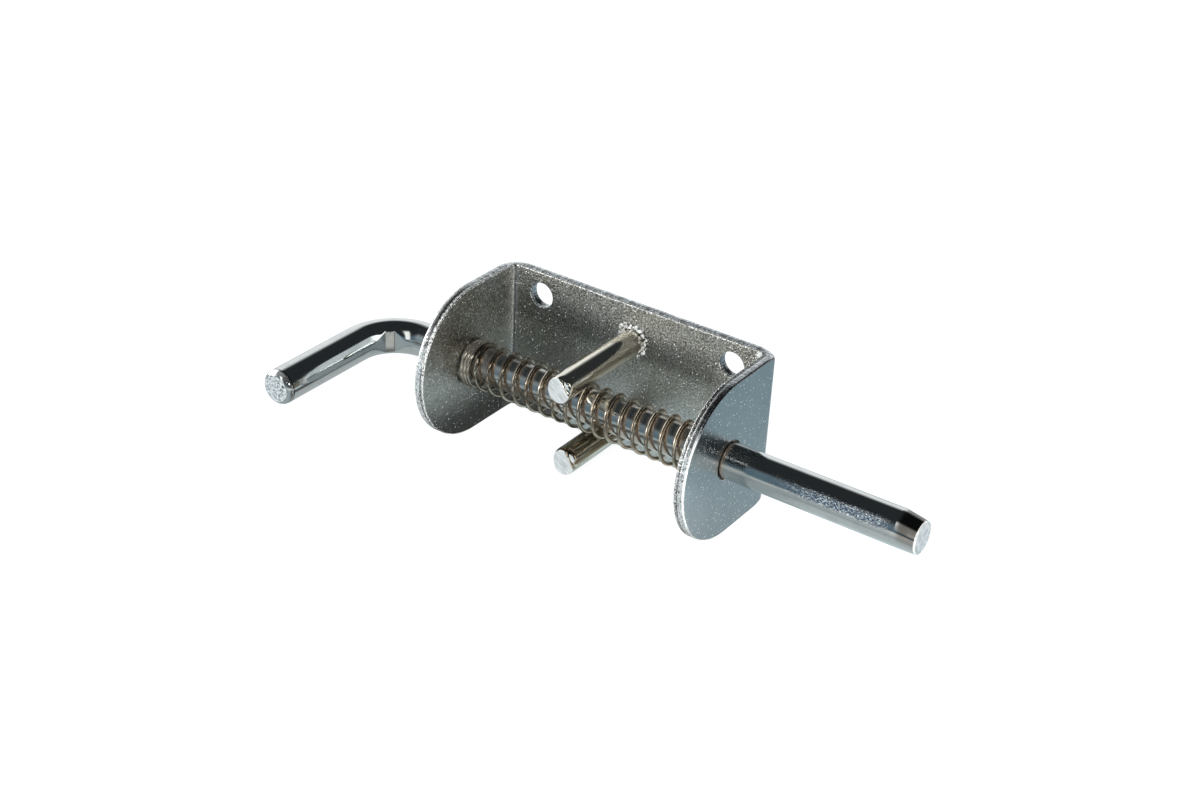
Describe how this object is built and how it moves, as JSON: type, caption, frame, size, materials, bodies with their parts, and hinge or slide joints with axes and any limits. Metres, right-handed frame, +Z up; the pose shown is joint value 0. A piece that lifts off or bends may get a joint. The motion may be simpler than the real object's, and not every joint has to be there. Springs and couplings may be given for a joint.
{
  "type": "spring latch",
  "caption": "Spring bolt latch: a round bar with a bent pull handle slides through the ears of a bent strip bracket and is pushed out by a coil spring.",
  "frame": {"origin": "centre of the mounting hole pattern, on the back face of the bracket", "axes": "+X along the bolt towards its nose, +Y into the wall that the back face is fixed to, +Z up"},
  "size_m": [0.281, 0.11, 0.072],
  "materials": {
    "bracket": "satin zinc plating",
    "bolt": "bright zinc plating",
    "spring": "drawn spring wire",
    "washer": "satin zinc plating",
    "cross_pin": "satin",
    "pins": "bright zinc plating",
    "weld": "plated weld metal"
  },
  "bodies": {
    "bracket_assembly": {"bracket": "bracket", "upper_pin": "pins", "lower_pin": "pins", "upper_pin_weld": "weld", "lower_pin_weld": "weld", "spring": "spring"},
    "thrust_washer": {"washer": "washer"},
    "bolt_assembly": {"bolt": "bolt", "cross_pin": "cross_pin"}
  },
  "joints": [
    {"name": "bolt_slide", "type": "slide", "parent": "bracket_assembly", "child": "thrust_washer", "axis": [-1, 0, 0], "range_m": [0, 0.08], "stiffness_N_per_m": 570, "springref_m": -0.035, "deforming": ["spring"]},
    {"name": "bolt_turn", "type": "hinge", "parent": "thrust_washer", "child": "bolt_assembly", "pos_m": [0, -0.035, 0], "axis": [1, 0, 0], "range_deg": [-110, 110]}
  ]
}
